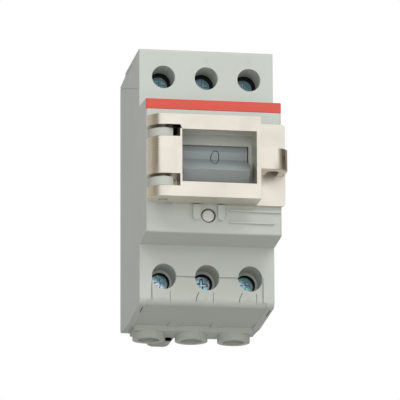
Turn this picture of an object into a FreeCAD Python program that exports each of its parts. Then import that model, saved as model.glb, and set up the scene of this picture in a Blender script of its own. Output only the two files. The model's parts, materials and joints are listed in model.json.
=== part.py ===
import FreeCAD, Part
import math
import os
import Sketcher

# Three-pole switch disconnector for a 35 mm rail, with a lockable hinged frame over its toggle.
# X runs across the poles, Y from the front to the rail, Z up. The origin lies in the rail seat,
# at the middle of the rail. The toggle is off, the frame is closed and the terminals are open.

doc = FreeCAD.newDocument("SwitchDisconnector")
sheet = doc.addObject("Spreadsheet::Sheet", "Sizes")

# Driving sizes in millimetres and degrees
SIZES = {
    "width": 45.0,
    "height": 87.0,
    "shoulder_depth": 44.0,
    "raised_depth": 14.5,
    "raised_height": 45.0,
    "raised_draft": 0.85,
    "rear_depth": 4.0,
    "seam_depth": 29.4,
    "wall": 1.9,
    "face_wall": 1.6,
    "top_round": 1.0,
    "bottom_round": 2.6,
    "face_round": 0.7,
    "rear_round": 2.0,
    "rear_inset": 4.0,
    "fit_gap": 0.1,
    "seat_gap": 0.05,
    "run_gap": 0.05,
    "hold_gap": 0.02,
    "pole_edge": 0.9,
    "pole_wall": 2.0,
    "screw_row": 33.9,
    "well_dia": 7.8,
    "well_depth": 10.0,
    "screw_room_dia": 9.4,
    "screw_room_depth": 13.6,
    "strip_height": 3.5,
    "strip_thick": 0.9,
    "strip_proud": 0.1,
    "opening_margin": 11.0,
    "opening_height": 10.6,
    "opening_rise": 1.9,
    "toggle_play": 0.4,
    "toggle_axis_depth": 51.0,
    "drum_dia": 16.7,
    "drum_gap": 0.35,
    "grip_reach": 13.6,
    "grip_drop": 4.3,
    "grip_shoulder": 4.55,
    "grip_root_share": 0.84,
    "fold_reach": 9.2,
    "fold_rise": 0.1,
    "apron_reach": 9.6,
    "apron_drop": 8.6,
    "apron_thick": 0.5,
    "apron_gap": 0.5,
    "apron_root": 5.0,
    "half_swing": 13.0,
    "crank_reach": 11.5,
    "crank_width": 2.5,
    "crank_boss": 5.0,
    "axle_dia": 3.0,
    "drive_pin_dia": 2.5,
    "lug_thick": 2.0,
    "lug_height": 7.2,
    "central_room": 26.0,
    "barrier": 1.9,
    "terminal_end": 40.6,
    "terminal_floor": 3.5,
    "contact_floor": 3.0,
    "entry_depth": 10.4,
    "entry_dia": 7.3,
    "entry_relief": 8.0,
    "cover_thick": 1.4,
    "cover_gap": 0.05,
    "cover_foot_edge": 0.1,
    "cover_land": 0.2,
    "cover_top": 34.15,
    "cover_rear": 1.0,
    "groove_width": 0.55,
    "groove_deep": 0.6,
    "collar_dia": 11.0,
    "collar_drop": 5.0,
    "collar_plate_drop": 2.7,
    "foot_drop": 0.9,
    "skirt_drop": 1.3,
    "skirt_start": 0.5,
    "skirt_round": 1.3,
    "hollow_drop": 0.8,
    "hollow_length": 6.6,
    "hollow_width": 11.0,
    "tongue_left": 3.6,
    "tongue_right": 2.05,
    "tongue_top": 38.0,
    "tongue_gap": 0.35,
    "tongue_deep": 0.6,
    "slit_left": 20.75,
    "slit_right": 21.7,
    "slit_width": 0.5,
    "slit_front": 39.5,
    "slit_rear": 32.0,
    "slit_deep": 1.2,
    "line_front": 39.5,
    "line_low": 30.5,
    "line_high": 41.0,
    "line_width": 0.3,
    "line_deep": 0.2,
    "fall_start": 12.0,
    "fall_step": 1.05,
    "fall_drop": 2.1,
    "fall_width": 2.4,
    "snap_front": 28.0,
    "snap_drop": 1.55,
    "snap_height": 0.35,
    "snap_deep": 0.5,
    "top_cover_front": 27.0,
    "top_cover_rear": 3.0,
    "ridge_front": 25.0,
    "ridge_rear": 14.9,
    "ridge_height": 1.4,
    "rail_height": 35.0,
    "rail_thick": 1.0,
    "rail_play": 0.4,
    "hook_reach": 2.1,
    "seat_relief": 0.2,
    "plate_thick": 1.5,
    "plate_inset": 3.7,
    "plate_edge": 1.3,
    "plate_window_side": 0.1,
    "plate_window_rise": 1.55,
    "plate_window_drop": 0.35,
    "plate_corner": 1.0,
    "flap_gap": 0.2,
    "flap_front_depth": 69.5,
    "flap_rim_right": 1.45,
    "flap_rim_top": 5.05,
    "flap_rim_bottom": 5.0,
    "window_left_gap": 0.7,
    "window_right_gap": 0.9,
    "window_top_gap": 2.45,
    "window_bottom_gap": 4.55,
    "flap_rim_depth": 7.3,
    "flap_rebate": 2.35,
    "flap_relief": 2.0,
    "hinge_offset": 5.5,
    "hinge_depth": 64.1,
    "knuckle_dia": 10.8,
    "eye_dia": 9.3,
    "eye_nose": 2.7,
    "slot_reach": 4.8,
    "slot_drop": 1.7,
    "slot_lift": 0.2,
    "slot_height": 2.9,
    "eye_gap": 0.15,
    "pin_dia": 3.0,
    "tab_edge": 0.35,
    "tab_top": 4.35,
    "tab_bottom": 2.8,
    "tab_corner": 4.0,
    "shackle_width": 4.0,
    "shackle_depth": 3.2,
    "shackle_set": 0.6,
    "ear_rise": 0.8,
    "ear_thick": 1.6,
    "ear_offset": 1.15,
    "ear_width": 7.0,
    "ear_front": 66.8,
    "ear_gap": 0.3,
    "ear_side_gap": 0.54,
    "ear_round_share": 0.35,
    "plate_screw_spread": 3.6,
    "plate_screw_drop": 1.75,
    "plate_screw_lift": 2.35,
    "plate_screw_dia": 1.9,
    "plate_screw_length": 3.3,
    "plate_head_dia": 3.4,
    "plate_head_thick": 0.8,
    "boss_floor": 0.3,
    "screw_end_gap": 0.2,
    "seal_left": 1.85,
    "seal_share": 0.372,
    "seal_well_dia": 4.9,
    "seal_well_depth": 3.0,
    "seal_head_dia": 4.4,
    "seal_head_thick": 2.4,
    "seal_shank_dia": 2.4,
    "seal_shank_length": 2.3,
    "guard_width": 2.3,
    "guard_offset": 4.1,
    "guard_share": 0.56,
    "guard_proud": 1.5,
    "guard_round_share": 0.48,
    "label_left": 5.0,
    "label_edge": 0.3,
    "label_share_top": 0.152,
    "label_share_low": 0.696,
    "label_lip": 1.3,
    "label_short": 2.2,
    "label_proud": 0.8,
    "bar_depth": 15.4,
    "bar_thick": 1.2,
    "bar_margin": 2.2,
    "bar_inner": 7.0,
    "bar_outer": 40.0,
    "tip_dia": 4.6,
    "tip_thick": 1.0,
    "tip_row": 10.0,
    "closed_gap": 0.03,
    "stem_post": 1.6,
    "bridge_thick": 1.5,
    "bridge_length": 26.0,
    "stem_margin": 1.6,
    "stem_height": 5.0,
    "stem_web": 1.9,
    "spring_room": 8.0,
    "spring_strip": 0.4,
    "spring_slope": 1.6,
    "beam_front": 40.0,
    "beam_thick": 4.5,
    "beam_play": 1.4,
    "yoke_side": 0.6,
    "yoke_thick": 2.0,
    "yoke_cap": 1.2,
    "yoke_lip": 0.65,
    "yoke_rim": 0.9,
    "yoke_play": 0.5,
    "arc_first": 15.5,
    "arc_step": 2.4,
    "arc_thick": 0.8,
    "arc_front": 28.0,
    "arc_rear": 17.5,
    "cage_side": 0.3,
    "cage_height": 8.8,
    "cage_front": 19.0,
    "cage_front_wall": 2.0,
    "cage_rear": 4.8,
    "cage_wall": 1.0,
    "cage_rear_wall": 1.6,
    "clamp_dia": 5.0,
    "clamp_end": 16.2,
    "clamp_head_dia": 6.2,
    "clamp_head_thick": 1.6,
    "cross_long": 4.2,
    "cross_wide": 0.9,
    "cross_deep": 1.1,
    "latch_centre": 9.2,
    "latch_width": 8.2,
    "latch_thick": 4.2,
    "latch_front": 0.3,
    "latch_flange": 1.6,
    "latch_flange_width": 11.6,
    "latch_flange_top": 20.0,
    "latch_flange_low": 40.0,
    "latch_nose": 2.0,
    "latch_stop": 18.2,
    "latch_play": 0.2,
    "tail_top": 44.7,
    "tail_drop": 2.9,
    "tail_front": 4.4,
    "tail_width": 9.0,
    "tail_round": 2.7,
    "tail_slot_wide": 6.6,
    "tail_slot_high": 1.0,
    "tail_slot_edge": 0.6,
    "window_width": 3.2,
    "window_top": 26.0,
    "window_low": 36.0,
    "peg_height": 1.9,
    "peg_reach": 2.6,
    "coil_dia": 2.2,
    "coil_wire": 0.5,
    "coil_turns": 5.0,
}


# A size is a number together with the expression that gives it in the document
class Size:
    def __init__(self, value, text):
        self.value = float(value)
        self.text = text

    def __add__(self, other):
        other = as_size(other)
        return Size(self.value + other.value, "(" + self.text + " + " + other.text + ")")

    def __sub__(self, other):
        other = as_size(other)
        return Size(self.value - other.value, "(" + self.text + " - " + other.text + ")")

    def __mul__(self, other):
        other = as_size(other)
        return Size(self.value * other.value, "(" + self.text + " * " + other.text + ")")

    def __truediv__(self, other):
        other = as_size(other)
        return Size(self.value / other.value, "(" + self.text + " / " + other.text + ")")

    def __neg__(self):
        return Size(-self.value, "(0 - " + self.text + ")")

    __radd__ = __add__


def as_size(thing):
    return thing if isinstance(thing, Size) else Size(thing, repr(float(thing)))


def sine(angle):
    return Size(math.sin(math.radians(angle.value)), "sin(" + angle.text + ")")


def cosine(angle):
    return Size(math.cos(math.radians(angle.value)), "cos(" + angle.text + ")")


class Sheet:
    pass


S = Sheet()
for row, (word, number) in enumerate(SIZES.items(), start=1):
    sheet.set("A%d" % row, word)
    sheet.set("B%d" % row, str(number))
    sheet.setAlias("B%d" % row, word)
    setattr(S, word, Size(number, "Sizes." + word))
doc.recompute()

parts = {}


def keep(node, thing):
    thing.Label = node
    parts[node] = thing
    return thing


# Sketches on a body's own planes. A loop is a list of corners, or a centre with a radius.
PLANES = {"X": "YZ_Plane", "Y": "XZ_Plane", "Z": "XY_Plane"}


def new_body(name):
    return doc.addObject("PartDesign::Body", name)


def sketch(body, name, across, at, loops):
    sk = body.newObject("Sketcher::SketchObject", name)
    plane = [f for f in body.Origin.OriginFeatures if f.Role == PLANES[across]][0]
    sk.AttachmentSupport = [(plane, "")]
    sk.MapMode = "FlatFace"
    offset = -as_size(at) if across == "Y" else as_size(at)
    sk.setExpression("AttachmentOffset.Base.z", offset.text)
    for loop in loops:
        if len(loop) == 3 and not isinstance(loop[0], tuple):
            draw_circle(sk, [as_size(v) for v in loop])
        else:
            draw_loop(sk, [(as_size(u), as_size(v)) for u, v in loop])
    return sk


def tie(sk, kind, geo, point, size):
    number = sk.addConstraint(Sketcher.Constraint(kind, -1, 1, geo, point, size.value))
    sk.setExpression("Constraints[%d]" % number, size.text)


def draw_loop(sk, corners):
    first = sk.GeometryCount
    count = len(corners)
    spots = [FreeCAD.Vector(u.value, v.value, 0) for u, v in corners]
    sk.addGeometry([Part.LineSegment(spots[i], spots[(i + 1) % count]) for i in range(count)], False)
    sk.addConstraint([Sketcher.Constraint("Coincident", first + i, 2, first + (i + 1) % count, 1)
                      for i in range(count)])
    for i, (u, v) in enumerate(corners):
        tie(sk, "DistanceX", first + i, 1, u)
        tie(sk, "DistanceY", first + i, 1, v)


def draw_circle(sk, loop):
    u, v, radius = loop
    geo = sk.addGeometry(Part.Circle(FreeCAD.Vector(u.value, v.value, 0), FreeCAD.Vector(0, 0, 1),
                                     radius.value), False)
    tie(sk, "DistanceX", geo, 3, u)
    tie(sk, "DistanceY", geo, 3, v)
    number = sk.addConstraint(Sketcher.Constraint("Radius", geo, radius.value))
    sk.setExpression("Constraints[%d]" % number, radius.text)


def rect(low_u, high_u, low_v, high_v):
    return [(low_u, low_v), (high_u, low_v), (high_u, high_v), (low_u, high_v)]


# A prism fills, or empties, the loops between two places along the given axis
def prism(body, name, kind, across, low, high, loops):
    low, high = as_size(low), as_size(high)
    start = high if across == "Y" else low
    sk = sketch(body, name + "Sketch", across, start, loops)
    feature = body.newObject("PartDesign::" + kind, name)
    feature.Profile = sk
    feature.setExpression("Length", (high - low).text)
    if kind == "Pocket":
        feature.Reversed = True
    return feature


def pad(body, name, across, low, high, *loops):
    return prism(body, name, "Pad", across, low, high, loops)


def pocket(body, name, across, low, high, *loops):
    return prism(body, name, "Pocket", across, low, high, loops)


def near(one, other):
    return abs(one - other) < 0.02


# Edges are found by where both their ends lie
def soften(body, name, kind, size, chosen):
    doc.recompute()
    base = body.Tip
    names = []
    for i, edge in enumerate(base.Shape.Edges, start=1):
        ends = [v.Point for v in edge.Vertexes]
        if len(ends) == 2 and chosen(ends[0], ends[1]):
            names.append("Edge%d" % i)
    if not names:
        raise RuntimeError("no edge found for " + name)
    feature = body.newObject("PartDesign::" + kind, name)
    feature.Base = (base, names)
    feature.setExpression("Radius" if kind == "Fillet" else "Size", size.text)
    return feature


def place(thing, spin, x, y, z):
    thing.Placement = FreeCAD.Placement(FreeCAD.Vector(0, 0, 0), spin)
    for word, size in (("x", x), ("y", y), ("z", z)):
        thing.setExpression("Placement.Base." + word, as_size(size).text)


def box(name, x, y, z):
    thing = doc.addObject("Part::Box", name)
    for word, (low, high) in (("Length", x), ("Width", y), ("Height", z)):
        thing.setExpression(word, (as_size(high) - low).text)
    place(thing, FreeCAD.Rotation(), x[0], y[0], z[0])
    return thing


TURNS = {
    "X": FreeCAD.Rotation(FreeCAD.Vector(0, 1, 0), 90),
    "Y": FreeCAD.Rotation(FreeCAD.Vector(1, 0, 0), -90),
    "Z": FreeCAD.Rotation(),
}


def rod(name, along, low, high, spot, radius):
    thing = doc.addObject("Part::Cylinder", name)
    thing.setExpression("Radius", as_size(radius).text)
    thing.setExpression("Height", (as_size(high) - low).text)
    where = {"X": (low, spot[0], spot[1]), "Y": (spot[0], low, spot[1]), "Z": (spot[0], spot[1], low)}
    place(thing, TURNS[along], *where[along])
    return thing


def fuse(name, *things):
    thing = doc.addObject("Part::MultiFuse", name)
    thing.Shapes = list(things)
    return thing


def cut(name, base, tool):
    thing = doc.addObject("Part::Cut", name)
    thing.Base = base
    thing.Tool = tool
    return thing


def group(name, *things):
    thing = doc.addObject("Part::Compound", name)
    thing.Links = list(things)
    return thing


# Pads and pockets reach this far past a face that they only have to meet
LAP = 0.1

# Main planes
side = S.width / 2
top = S.height / 2
shoulder = -S.shoulder_depth
face = -(S.shoulder_depth + S.raised_depth)
seam = -S.seam_depth
rear = S.rear_depth
raised = S.raised_height / 2
inner_face = face + S.face_wall
pole_pitch = (S.width - S.pole_edge * 2) / 3
poles = [-pole_pitch, as_size(0), pole_pitch]
half_room = (pole_pitch - S.pole_wall) / 2
half_bar = half_room - S.bar_margin
half_stem = half_room - S.stem_margin
half_bridge = half_stem - S.stem_post
half_front_cover = pole_pitch + S.well_dia / 2 - S.cover_gap
half_top_cover = pole_pitch + S.entry_dia / 2 + S.cover_land
half_foot = pole_pitch + S.collar_dia / 2 + S.cover_foot_edge
terminal_start = S.central_room + S.barrier
well_end = shoulder + S.well_depth
well_floor = shoulder + S.screw_room_depth
rows = {"line": (1, "Line"), "load": (-1, "Load")}

# The underside falls from behind its front rounding to the plate that carries the collars
fall_front = shoulder + S.bottom_round + S.skirt_start
plate_front_edge = -(S.entry_depth + S.collar_dia / 2)
plate_rear_edge = S.collar_dia / 2 - S.entry_depth
skirt_low = -(top + S.skirt_drop)
skirt_at_seam = -(top + S.skirt_drop * (seam - fall_front) / (plate_front_edge - fall_front))
foot_low = -(top + S.foot_drop)

# The opening follows the width, and the lock follows the opening
half_opening = side - S.opening_margin
half_toggle = half_opening - S.toggle_play
opening_top = S.opening_rise + S.opening_height / 2
opening_low = S.opening_height / 2 - S.opening_rise
window_left = half_opening + S.window_left_gap
window_right = half_opening + S.window_right_gap
window_top = opening_top + S.window_top_gap
window_low = opening_low + S.window_bottom_gap
lock_top = window_top + S.flap_rim_top
lock_low = window_low + S.flap_rim_bottom
hinge_left = window_left + S.hinge_offset
slot_right = hinge_left - S.slot_reach
slot_upper = window_top - S.slot_drop
slot_lower = window_low + S.slot_lift
flap_right = window_right + S.flap_rim_right
ear_left = flap_right + S.ear_offset
ear_right = ear_left + S.ear_width
shackle_x = ear_left + S.ear_width / 2
field = raised - lock_low
seal_z = -(lock_low + field * S.seal_share)

# Toggle kinematics: the crank pin leans to the front by half the swing when the toggle is off
axis_y = -S.toggle_axis_depth
axis_z = S.opening_rise
crank_y = axis_y - S.crank_reach * sine(S.half_swing)
crank_z = axis_z + S.crank_reach * cosine(S.half_swing)

plate_front = face - S.plate_thick
flap_rear = plate_front - S.flap_gap
flap_front = -S.flap_front_depth
hinge_x = -hinge_left
hinge_y = -S.hinge_depth
screw_spots = [(x, z) for z in (lock_top - S.plate_screw_drop, S.plate_screw_lift - lock_low)
               for x in (-S.plate_screw_spread, S.plate_screw_spread)]


# The line that rises along both sides, cut where it crosses one housing
def cut_side_line(body, word, front, back):
    rise = (S.line_high - S.line_low) / S.line_front
    low_front = S.line_high + front * rise
    low_back = S.line_high + back * rise
    band = [(front, low_front), (back, low_back), (back, low_back + S.line_width),
            (front, low_front + S.line_width)]
    pocket(body, word + "LineLeft", "X", -side, -side + S.line_deep, band)
    pocket(body, word + "LineRight", "X", side - S.line_deep, side, band)


# Front housing: shoulders, raised part, wells, toggle opening and the lugs of the axle
def make_front_housing():
    body = new_body("FrontHousing")
    root = raised + S.raised_draft
    pad(body, "FrontShell", "X", -side, side,
        [(seam, top), (seam, skirt_at_seam), (fall_front, -top), (shoulder, -top), (shoulder, -root),
         (face, -raised), (face, raised), (shoulder, root), (shoulder, top)])
    for word, height, size in (("Top", top, S.top_round), ("Bottom", -top, S.bottom_round)):
        soften(body, word + "Round", "Fillet", size,
               lambda a, b: near(a.y, shoulder.value) and near(b.y, shoulder.value)
               and near(a.z, height.value) and near(b.z, height.value))
    soften(body, "FrontFaceRound", "Fillet", S.face_round,
           lambda a, b: near(a.y, face.value) and near(b.y, face.value))
    inner = side - S.wall
    pocket(body, "RaisedRoom", "Y", inner_face, shoulder + S.wall,
           rect(-inner, inner, -(raised - S.wall), raised - S.wall))
    pocket(body, "CentralRoom", "Y", shoulder + S.wall - LAP, seam,
           rect(-inner, inner, -S.central_room, S.central_room))
    pocket(body, "ToggleOpening", "Y", face, inner_face + LAP,
           rect(-half_opening, half_opening, -opening_low, opening_top))
    pocket(body, "DrumRelief", "X", -half_opening, half_opening,
           (axis_y, axis_z, S.drum_dia / 2 + S.drum_gap))
    wells = [(x, z, S.well_dia / 2) for x in poles for z in (S.screw_row, -S.screw_row)]
    pocket(body, "ScrewWells", "Y", shoulder, well_end, *wells)
    pocket(body, "ScrewRooms", "Y", well_end - LAP, well_floor,
           *[(x, z, S.screw_room_dia / 2) for x, z, _ in wells])
    holes = [(x, z, S.clamp_dia / 2 + S.run_gap) for x in poles for z in (S.screw_row, -S.screw_row)]
    pocket(body, "ScrewHoles", "Y", well_floor - LAP, seam, *holes)
    lug_in = half_opening + S.fit_gap
    lug_out = lug_in + S.lug_thick
    lug_half = S.lug_height / 2
    lug = rect(inner_face - LAP, axis_y + lug_half, axis_z - lug_half, axis_z + lug_half)
    pad(body, "LeftLug", "X", -lug_out, -lug_in, lug)
    pad(body, "RightLug", "X", lug_in, lug_out, lug)
    pocket(body, "AxleHoles", "X", -lug_out, lug_out, (axis_y, axis_z, S.axle_dia / 2 + S.hold_gap))
    thread_end = face - S.plate_thick + S.plate_head_thick + S.plate_screw_length + S.screw_end_gap
    boss_end = thread_end + S.boss_floor
    pad(body, "PlateBosses", "Y", inner_face - LAP, boss_end,
        *[(x, z, S.plate_screw_dia) for x, z in screw_spots])
    pocket(body, "PlateScrewHoles", "Y", face, thread_end,
           *[(x, z, S.plate_screw_dia / 2 + S.hold_gap) for x, z in screw_spots])
    seal_end = face + S.seal_well_depth + S.seal_shank_length + S.screw_end_gap + S.boss_floor
    pad(body, "SealBoss", "Y", inner_face - LAP, seal_end,
        (-S.seal_left, seal_z, S.seal_well_dia / 2 + S.face_wall))
    pocket(body, "SealWell", "Y", face, face + S.seal_well_depth,
           (-S.seal_left, seal_z, S.seal_well_dia / 2))
    pocket(body, "SealHole", "Y", face, seal_end - S.boss_floor,
           (-S.seal_left, seal_z, S.seal_shank_dia / 2 + S.hold_gap))
    guard_low = -(lock_low + field * S.guard_share)
    guards = [rect(x - S.guard_width / 2, x + S.guard_width / 2, guard_low, -(lock_low + S.flap_gap))
              for x in (-S.seal_left - S.guard_offset, -S.seal_left + S.guard_offset)]
    pad(body, "SealGuards", "Y", face - S.guard_proud, face + LAP, *guards)
    soften(body, "GuardRound", "Fillet", S.guard_width * S.guard_round_share,
           lambda a, b: near(a.z, guard_low.value) and near(b.z, guard_low.value)
           and not near(a.y, b.y) and min(a.y, b.y) < face.value - 1)
    label_top = -(lock_low + field * S.label_share_top)
    label_low = -(lock_low + field * S.label_share_low)
    label_right = side - S.label_edge
    pad(body, "LabelLips", "Y", face - S.label_proud, face + LAP,
        rect(S.label_left, label_right, label_top - S.label_lip, label_top),
        rect(S.label_left, label_right - S.label_short, label_low, label_low + S.label_lip))
    pocket(body, "StripSeat", "Y", face, face + S.strip_thick,
           rect(-side, side, raised - S.strip_height, raised))
    half = half_front_cover + S.cover_gap
    foot = half_foot + S.cover_gap
    depth = S.cover_thick + S.cover_gap
    pocket(body, "CoverSeat", "Y", shoulder, shoulder + depth,
           rect(-half, half, -top, -(S.cover_top - S.cover_gap)))
    groove = half + S.groove_width
    pocket(body, "CoverGroove", "Y", shoulder, shoulder + S.groove_deep,
           rect(-groove, groove, -top, S.groove_width - S.cover_top))
    pocket(body, "CoverFootSeat", "Z", skirt_low, -top + depth, rect(-foot, foot, shoulder, seam))
    pocket(body, "BottomSlits", "Z", skirt_low, -top + S.slit_deep,
           *[rect(x - S.slit_width / 2, x + S.slit_width / 2, -S.slit_front, -S.slit_rear)
             for x in (-S.slit_left, S.slit_right)])
    cut_side_line(body, "Front", -S.line_front, seam)
    return keep("front_housing", body)


# Base housing: contact and terminal chambers, conductor entries, rail seat with its fixed hook
def make_base_housing():
    body = new_body("BaseHousing")
    recess = S.rail_height / 2 + S.rail_play
    hook = recess - S.hook_reach
    lip = S.rail_thick + S.rail_play
    seat_low = S.latch_nose + S.fit_gap - S.latch_stop
    pad(body, "BaseShell", "X", -side, side,
        [(seam, top), (rear, top), (rear, hook), (lip, hook), (lip, recess), (-S.seat_relief, recess),
         (-S.seat_relief, hook - S.fit_gap), (as_size(0), hook - S.fit_gap), (as_size(0), seat_low),
         (-S.seat_relief, seat_low), (-S.seat_relief, -S.latch_stop), (rear, -S.latch_stop),
         (rear, foot_low), (plate_front_edge / 2, foot_low), (plate_front_edge, skirt_low),
         (seam, skirt_at_seam)])
    soften(body, "BaseRearRound", "Fillet", S.rear_round,
           lambda a, b: near(a.y, rear.value) and near(b.y, rear.value)
           and near(a.z, top.value) and near(b.z, top.value))
    inset = side - S.rear_inset
    pocket(body, "RearInset", "Y", -S.seat_relief, rear,
           rect(-side, -inset, foot_low, top), rect(inset, side, foot_low, top))
    soften(body, "SkirtRound", "Fillet", S.skirt_round,
           lambda a, b: near(a.y, -S.seat_relief.value) and near(b.y, -S.seat_relief.value)
           and near(a.z, foot_low.value) and near(b.z, foot_low.value))
    strip = side - S.fall_width
    fall = [(-S.fall_start, top), (-S.fall_start, top - S.fall_step), (rear, top - S.fall_drop), (rear, top)]
    pocket(body, "FallLeft", "X", -side, -strip, fall)
    pocket(body, "FallRight", "X", strip, side, fall)
    snap = rect(-S.snap_front, -S.fall_start, top - S.snap_drop, top - S.snap_drop + S.snap_height)
    pocket(body, "SnapLeft", "X", -side, -side + S.snap_deep, snap)
    pocket(body, "SnapRight", "X", side - S.snap_deep, side, snap)
    cut_side_line(body, "Base", seam, as_size(0))
    pocket(body, "ContactRooms", "Y", seam, -S.contact_floor,
           *[rect(x - half_room, x + half_room, -S.central_room, S.central_room) for x in poles])
    pocket(body, "LineRooms", "Y", seam, -S.terminal_floor,
           *[rect(x - half_room, x + half_room, terminal_start, S.terminal_end) for x in poles])
    pocket(body, "LoadRooms", "Y", seam, -S.terminal_floor,
           *[rect(x - half_room, x + half_room, -S.terminal_end, -terminal_start) for x in poles])
    bar = half_bar + S.fit_gap
    bar_low, bar_high = -S.bar_depth - S.fit_gap, -S.bar_depth + S.bar_thick + S.fit_gap
    pocket(body, "BarSlots", "Z", -terminal_start, terminal_start,
           *[rect(x - bar, x + bar, bar_low, bar_high) for x in poles])
    supports = [rect(x - half_room, x + half_room, z - S.tip_dia / 2, z + S.tip_dia / 2)
                for x in poles for z in (S.tip_row, -S.tip_row)]
    pad(body, "BarSupports", "Y", bar_high, -S.contact_floor + LAP, *supports)
    half = half_top_cover + S.cover_gap
    foot = half_foot + S.cover_gap
    depth = S.cover_thick + S.cover_gap
    pocket(body, "CoverFootSeat", "Z", skirt_low, -top + depth,
           rect(-foot, foot, seam, -S.cover_rear + S.cover_gap))
    pocket(body, "TopCoverSeat", "Z", top - depth, top,
           rect(-half, half, -S.top_cover_front - S.cover_gap, -S.top_cover_rear + S.cover_gap))
    entries = [(x, -S.entry_depth, S.entry_relief / 2) for x in poles]
    pocket(body, "LineEntries", "Z", S.terminal_end - LAP, top, *entries)
    pocket(body, "LoadEntries", "Z", -top, -S.terminal_end + LAP, *entries)
    latch = -S.latch_centre
    slide = S.latch_width / 2 + S.latch_play
    flange = S.latch_flange_width / 2 + S.latch_play
    floor = -S.latch_front - S.latch_play
    pocket(body, "LatchGuide", "Y", floor, rear,
           rect(latch - slide, latch + slide, foot_low, -S.latch_stop))
    pocket(body, "LatchGroove", "Y", floor, -S.latch_front + S.latch_flange + S.latch_play,
           rect(latch - flange, latch + flange, foot_low, -(S.latch_flange_top - S.latch_play)))
    peg = S.window_width / 2 - S.latch_play
    pad(body, "LatchPeg", "Y", floor - LAP, S.peg_reach,
        rect(latch - peg, latch + peg, -(S.window_low - S.fit_gap), -(S.window_low - S.peg_height)))
    return keep("base_housing", body)


# Lower cover: a plate on the front with three tongues, and a foot with three round collars
def make_terminal_cover():
    body = new_body("TerminalCover")
    foot = half_foot
    inside = -top + S.cover_thick
    plate_low = -(top + S.collar_plate_drop)
    pad(body, "CoverFoot", "X", -foot, foot,
        [(shoulder, -top), (shoulder, inside), (-S.cover_rear, inside), (-S.cover_rear, foot_low),
         (plate_rear_edge, foot_low), (plate_rear_edge, plate_low), (plate_front_edge, plate_low),
         (plate_front_edge, skirt_low), (fall_front, -top)])
    pad(body, "CoverFront", "Y", shoulder, shoulder + S.cover_thick,
        rect(-half_front_cover, half_front_cover, -top, -S.cover_top))
    soften(body, "CoverRound", "Fillet", S.bottom_round,
           lambda a, b: near(a.y, shoulder.value) and near(b.y, shoulder.value)
           and near(a.z, -top.value) and near(b.z, -top.value))
    pad(body, "Collars", "Z", -top - S.collar_drop, -top + LAP,
        *[(x, -S.entry_depth, S.collar_dia / 2) for x in poles])
    pocket(body, "CollarBores", "Z", -top - S.collar_drop, inside,
           *[(x, -S.entry_depth, S.entry_dia / 2) for x in poles])
    pocket(body, "FootHollows", "Z", skirt_low, -(top + S.hollow_drop),
           *[rect(x - S.hollow_width / 2, x + S.hollow_width / 2,
                  plate_front_edge - S.hollow_length, plate_front_edge) for x in poles])
    slits = [x - S.tongue_left for x in poles[1:]] + [x + S.tongue_right for x in poles]
    pocket(body, "TongueSlits", "Y", shoulder, shoulder + S.tongue_deep,
           *[rect(x - S.tongue_gap / 2, x + S.tongue_gap / 2, -top, -S.tongue_top) for x in slits])
    pocket(body, "CoverWells", "Y", shoulder, shoulder + S.cover_thick,
           *[(x, -S.screw_row, S.well_dia / 2) for x in poles])
    return keep("terminal_cover", body)


# Upper cover: flush plate with conductor holes and a ridge along its front
def make_top_cover():
    body = new_body("TopCover")
    half = half_top_cover
    pad(body, "TopPlate", "Z", top - S.cover_thick, top,
        rect(-half, half, -S.top_cover_front, -S.top_cover_rear))
    pad(body, "TopRidge", "Z", top - LAP, top + S.ridge_height,
        rect(-half, half, -S.ridge_front, -S.ridge_rear))
    pocket(body, "TopHoles", "Z", top - S.cover_thick, top,
           *[(x, -S.entry_depth, S.entry_dia / 2) for x in poles])
    return keep("top_cover", body)


def make_colour_strip():
    return keep("colour_strip", box("ColourStrip", (-side, side),
                                    (face - S.strip_proud, face + S.strip_thick),
                                    (raised - S.strip_height + S.seat_gap, raised)))


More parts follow.
